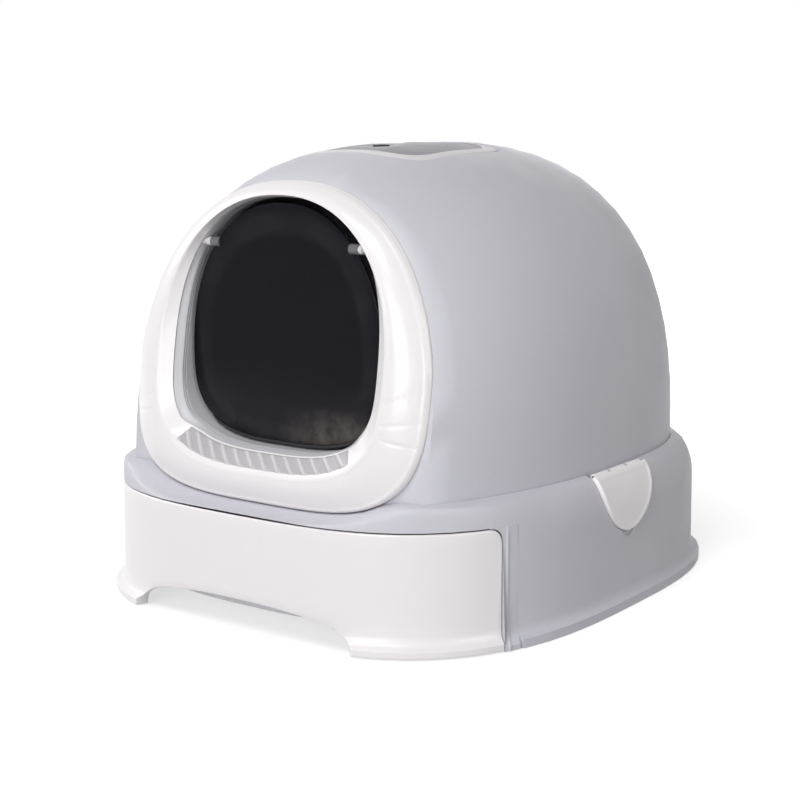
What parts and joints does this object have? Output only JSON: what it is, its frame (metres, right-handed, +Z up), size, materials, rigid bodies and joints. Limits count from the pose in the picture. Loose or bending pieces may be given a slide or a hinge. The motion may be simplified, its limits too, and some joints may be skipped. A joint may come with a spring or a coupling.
{
  "type": "drawer litter box",
  "caption": "Hooded cat litter box with a flap entry, a pull-out litter drawer, side latches and a deodoriser lid in the top.",
  "frame": {"origin": "on the floor, under the middle of the base housing (within 4 mm of the middle of the bounding box, whose rear foot reaches further than its front)", "axes": "+Z up, the entry and the drawer face -Y, +X to the right of the box when seen from above with the entry towards the viewer"},
  "size_m": [0.456, 0.5237, 0.3897],
  "materials": {
    "grey_matte": "fine matt grain",
    "light_grey_matte": "matt",
    "white_gloss": "gloss",
    "white_matte": "satin",
    "smoke_plastic": "gloss, smoked",
    "clear_plastic": "gloss",
    "black_rubber": "matt",
    "carbon_pad": "non-woven felt",
    "steel": "bright"
  },
  "bodies": {
    "base": {"base_housing": "grey_matte", "drawer_rail_left": "grey_matte", "drawer_rail_right": "grey_matte", "rail_screws": "steel"},
    "drawer": {"drawer_pan": "light_grey_matte", "drawer_front": "white_gloss", "drawer_screws": "steel"},
    "hood": {"hood_shell": "grey_matte", "entry_ring": "white_gloss", "tunnel_liner": "light_grey_matte", "ring_screws": "steel", "sill_tread": "white_gloss", "flap_pin_left": "clear_plastic", "flap_pin_right": "clear_plastic", "latch_pin_left": "steel", "latch_pin_right": "steel", "lid_pin": "steel"},
    "flap": {"flap_panel": "smoke_plastic", "flap_sweep": "black_rubber"},
    "latch_left_body": {"latch_left": "white_gloss"},
    "latch_right_body": {"latch_right": "white_gloss"},
    "lid": {"lid_plate": "white_matte", "filter_box": "white_matte", "carbon_filter": "carbon_pad"}
  },
  "joints": [
    {"name": "drawer_slide", "type": "slide", "parent": "base", "child": "drawer", "axis": [0, -1, 0], "range_m": [0, 0.27]},
    {"name": "hood_lift", "type": "slide", "parent": "base", "child": "hood", "axis": [0, 0, 1], "range_m": [0, 0.15]},
    {"name": "flap_swing", "type": "hinge", "parent": "hood", "child": "flap", "pos_m": [0, -0.1895, 0.30903], "axis": [1, 0, 0], "range_deg": [-75, 75]},
    {"name": "latch_left_hinge", "type": "hinge", "parent": "hood", "child": "latch_left_body", "pos_m": [-0.2068, 0, 0.1154], "axis": [0, 1, 0], "range_deg": [0, 75]},
    {"name": "latch_right_hinge", "type": "hinge", "parent": "hood", "child": "latch_right_body", "pos_m": [0.2068, 0, 0.1154], "axis": [0, -1, 0], "range_deg": [0, 75]},
    {"name": "lid_hinge", "type": "hinge", "parent": "hood", "child": "lid", "pos_m": [0, 0.043, 0.3844], "axis": [-1, 0, 0], "range_deg": [0, 100]}
  ]
}
